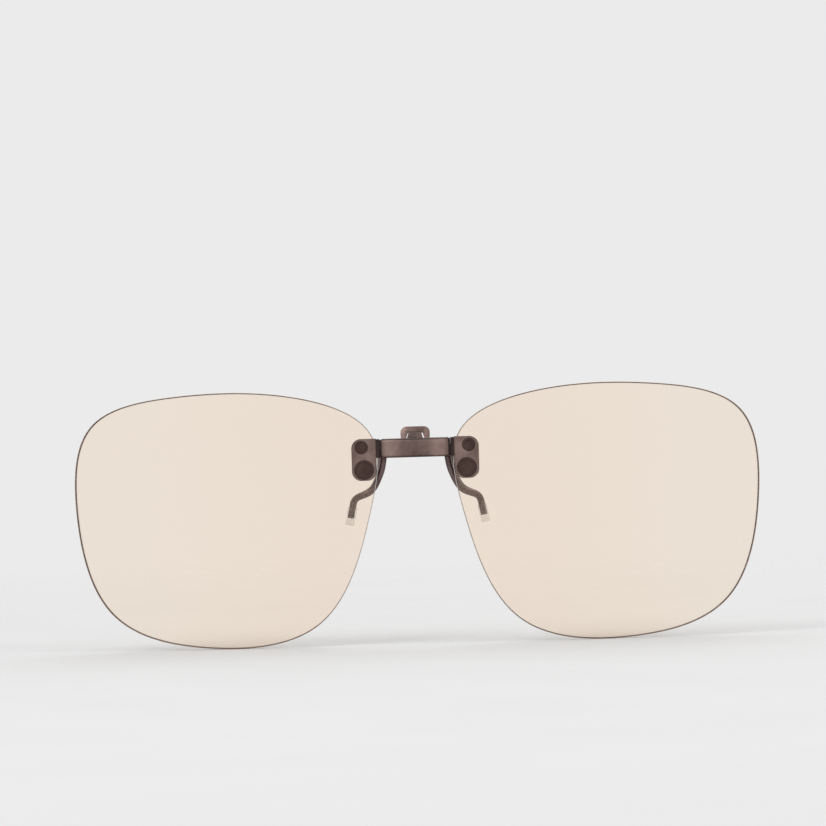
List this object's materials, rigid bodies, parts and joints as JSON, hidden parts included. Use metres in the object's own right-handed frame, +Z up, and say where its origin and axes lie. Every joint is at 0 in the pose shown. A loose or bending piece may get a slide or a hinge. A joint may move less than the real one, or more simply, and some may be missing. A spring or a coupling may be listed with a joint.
{
  "type": "clip-on sunglasses",
  "caption": "Rimless flip-up clip-on sunglasses: pale tinted lenses on a hinged bridge with a sprung jaw of soft-tipped wire prongs that grips spectacles.",
  "frame": {"origin": "centre of the four grips: halfway between the left and right grips and between the front and rear ones, at their middle height", "axes": "+X to the viewer's right along the bridge, +Y back towards the wearer, +Z up"},
  "size_m": [0.1402, 0.0113, 0.0523],
  "materials": {
    "bronze_sheet": "brown satin plating over stamped and folded sheet",
    "bronze_wire": "brown satin plating over drawn wire",
    "dark_rivet": "dark brown plating",
    "spring_steel": "bare drawn spring steel",
    "nylon": "dark moulded nylon",
    "clear_pad": "thin translucent plastic washer",
    "silicone": "clear silicone rubber",
    "tinted_lens": "polished, very pale amber tint"
  },
  "bodies": {
    "bridge": {"bridge_housing": "bronze_sheet", "front_prong_left": "bronze_wire", "front_prong_right": "bronze_wire", "front_grip_left": "silicone", "front_grip_right": "silicone", "jaw_pin": "spring_steel", "jaw_spring": "spring_steel", "detent_spring": "spring_steel", "hinge_bush_left": "nylon", "hinge_bush_right": "nylon"},
    "rear_jaw": {"jaw_lever": "bronze_sheet", "rear_prong_left": "bronze_wire", "rear_prong_right": "bronze_wire", "rear_grip_left": "silicone", "rear_grip_right": "silicone"},
    "lens_frame": {"flip_shaft": "spring_steel", "bracket_left": "bronze_sheet", "bracket_right": "bronze_sheet", "lens_left": "tinted_lens", "lens_right": "tinted_lens", "front_pad_left": "clear_pad", "front_pad_right": "clear_pad", "rear_pad_left": "clear_pad", "rear_pad_right": "clear_pad", "backing_plate_left": "dark_rivet", "backing_plate_right": "dark_rivet", "upper_rivet_left": "dark_rivet", "upper_rivet_right": "dark_rivet", "lower_rivet_left": "dark_rivet", "lower_rivet_right": "dark_rivet"}
  },
  "joints": [
    {"name": "flip_up", "type": "hinge", "parent": "bridge", "child": "lens_frame", "pos_m": [0, -0.0044, 0.0139], "axis": [-1, 0, 0], "range_deg": [0, 90], "deforming": ["detent_spring"]},
    {"name": "jaw_open", "type": "hinge", "parent": "bridge", "child": "rear_jaw", "pos_m": [0, -0.0021, 0.0139], "axis": [1, 0, 0], "range_deg": [0, 20], "stiffness_Nm_per_rad": 0.0005, "springref_deg": -45.84, "deforming": ["jaw_spring"]}
  ]
}
